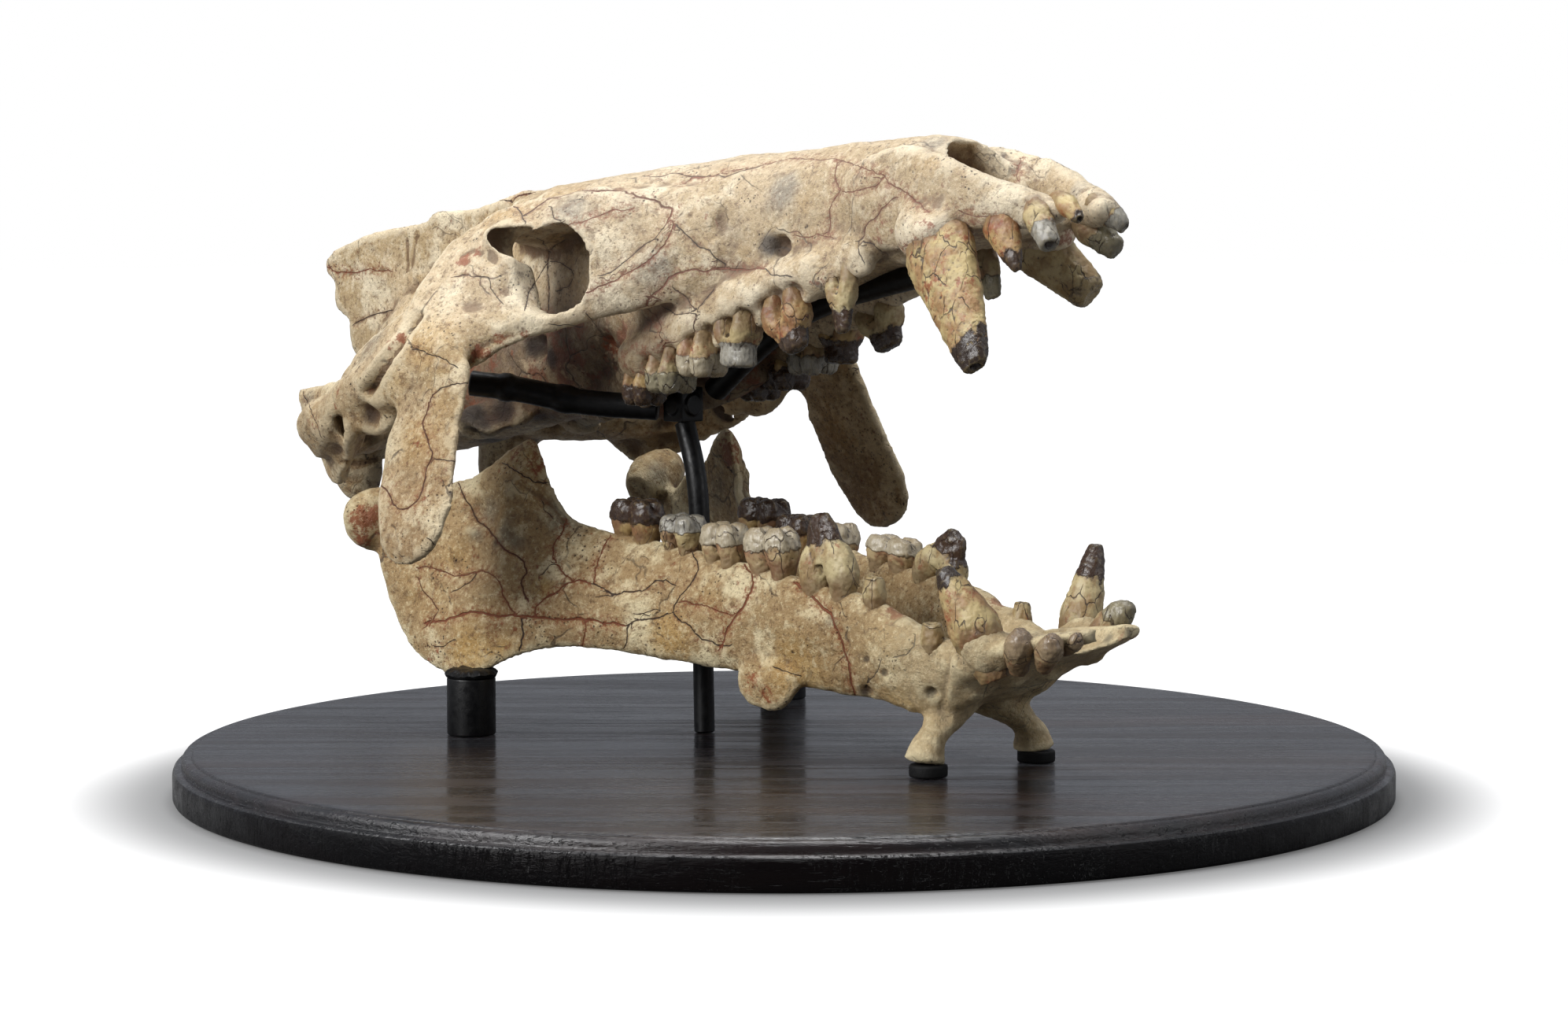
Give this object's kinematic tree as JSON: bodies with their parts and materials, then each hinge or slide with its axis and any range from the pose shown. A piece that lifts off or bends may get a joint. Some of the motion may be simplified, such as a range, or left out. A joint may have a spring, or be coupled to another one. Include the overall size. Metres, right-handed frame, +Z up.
{
  "type": "fossil entelodont skull",
  "caption": "Fossil entelodont skull with open jaws, flared cheek flanges and worn tusks, held by black steel posts over a round dark wooden base.",
  "frame": {"origin": "centre of the round base's underside", "axes": "+X forward along the snout, +Y to the animal's left, +Z up"},
  "size_m": [0.8752, 0.76, 0.4059],
  "materials": {
    "fossil_bone": "matt, pitted and cracked, cream to ochre with grey and red-brown stains",
    "fossil_tooth": "satin, ochre roots with dark brown to grey enamel",
    "dark_wood": "dark stain under a satin varnish, open grain",
    "black_steel": "satin black",
    "black_rubber": "matt black"
  },
  "bodies": {
    "root": {"base_disc": "dark_wood", "centre_post": "black_steel", "chin_pad_left": "black_rubber", "chin_pad_right": "black_rubber", "cranium": "fossil_bone", "cross_rod": "black_steel", "lower_left_canine": "fossil_tooth", "lower_left_incisor_3": "fossil_tooth", "lower_left_molar_1": "fossil_tooth", "lower_left_molar_2": "fossil_tooth", "lower_left_molar_3": "fossil_tooth", "lower_left_premolar_1": "fossil_tooth", "lower_left_premolar_3": "fossil_tooth", "lower_left_premolar_4": "fossil_tooth", "lower_right_canine": "fossil_tooth", "lower_right_incisor_1": "fossil_tooth", "lower_right_incisor_2": "fossil_tooth", "lower_right_incisor_3": "fossil_tooth", "lower_right_molar_1": "fossil_tooth", "lower_right_molar_2": "fossil_tooth", "lower_right_molar_3": "fossil_tooth", "lower_right_premolar_1": "fossil_tooth", "lower_right_premolar_2": "fossil_tooth", "lower_right_premolar_3": "fossil_tooth", "lower_right_premolar_4": "fossil_tooth", "mandible": "fossil_bone", "palate_bar": "black_steel", "post_clamp": "black_steel", "rear_post_left": "black_steel", "rear_post_right": "black_steel", "upper_left_canine": "fossil_tooth", "upper_left_incisor_2": "fossil_tooth", "upper_left_incisor_3": "fossil_tooth", "upper_left_molar_1": "fossil_tooth", "upper_left_molar_2": "fossil_tooth", "upper_left_molar_3": "fossil_tooth", "upper_left_premolar_1": "fossil_tooth", "upper_left_premolar_3": "fossil_tooth", "upper_left_premolar_4": "fossil_tooth", "upper_right_canine": "fossil_tooth", "upper_right_incisor_1": "fossil_tooth", "upper_right_incisor_2": "fossil_tooth", "upper_right_incisor_3": "fossil_tooth", "upper_right_molar_1": "fossil_tooth", "upper_right_molar_2": "fossil_tooth", "upper_right_molar_3": "fossil_tooth", "upper_right_premolar_2": "fossil_tooth", "upper_right_premolar_3": "fossil_tooth", "upper_right_premolar_4": "fossil_tooth"}
  },
  "joints": []
}
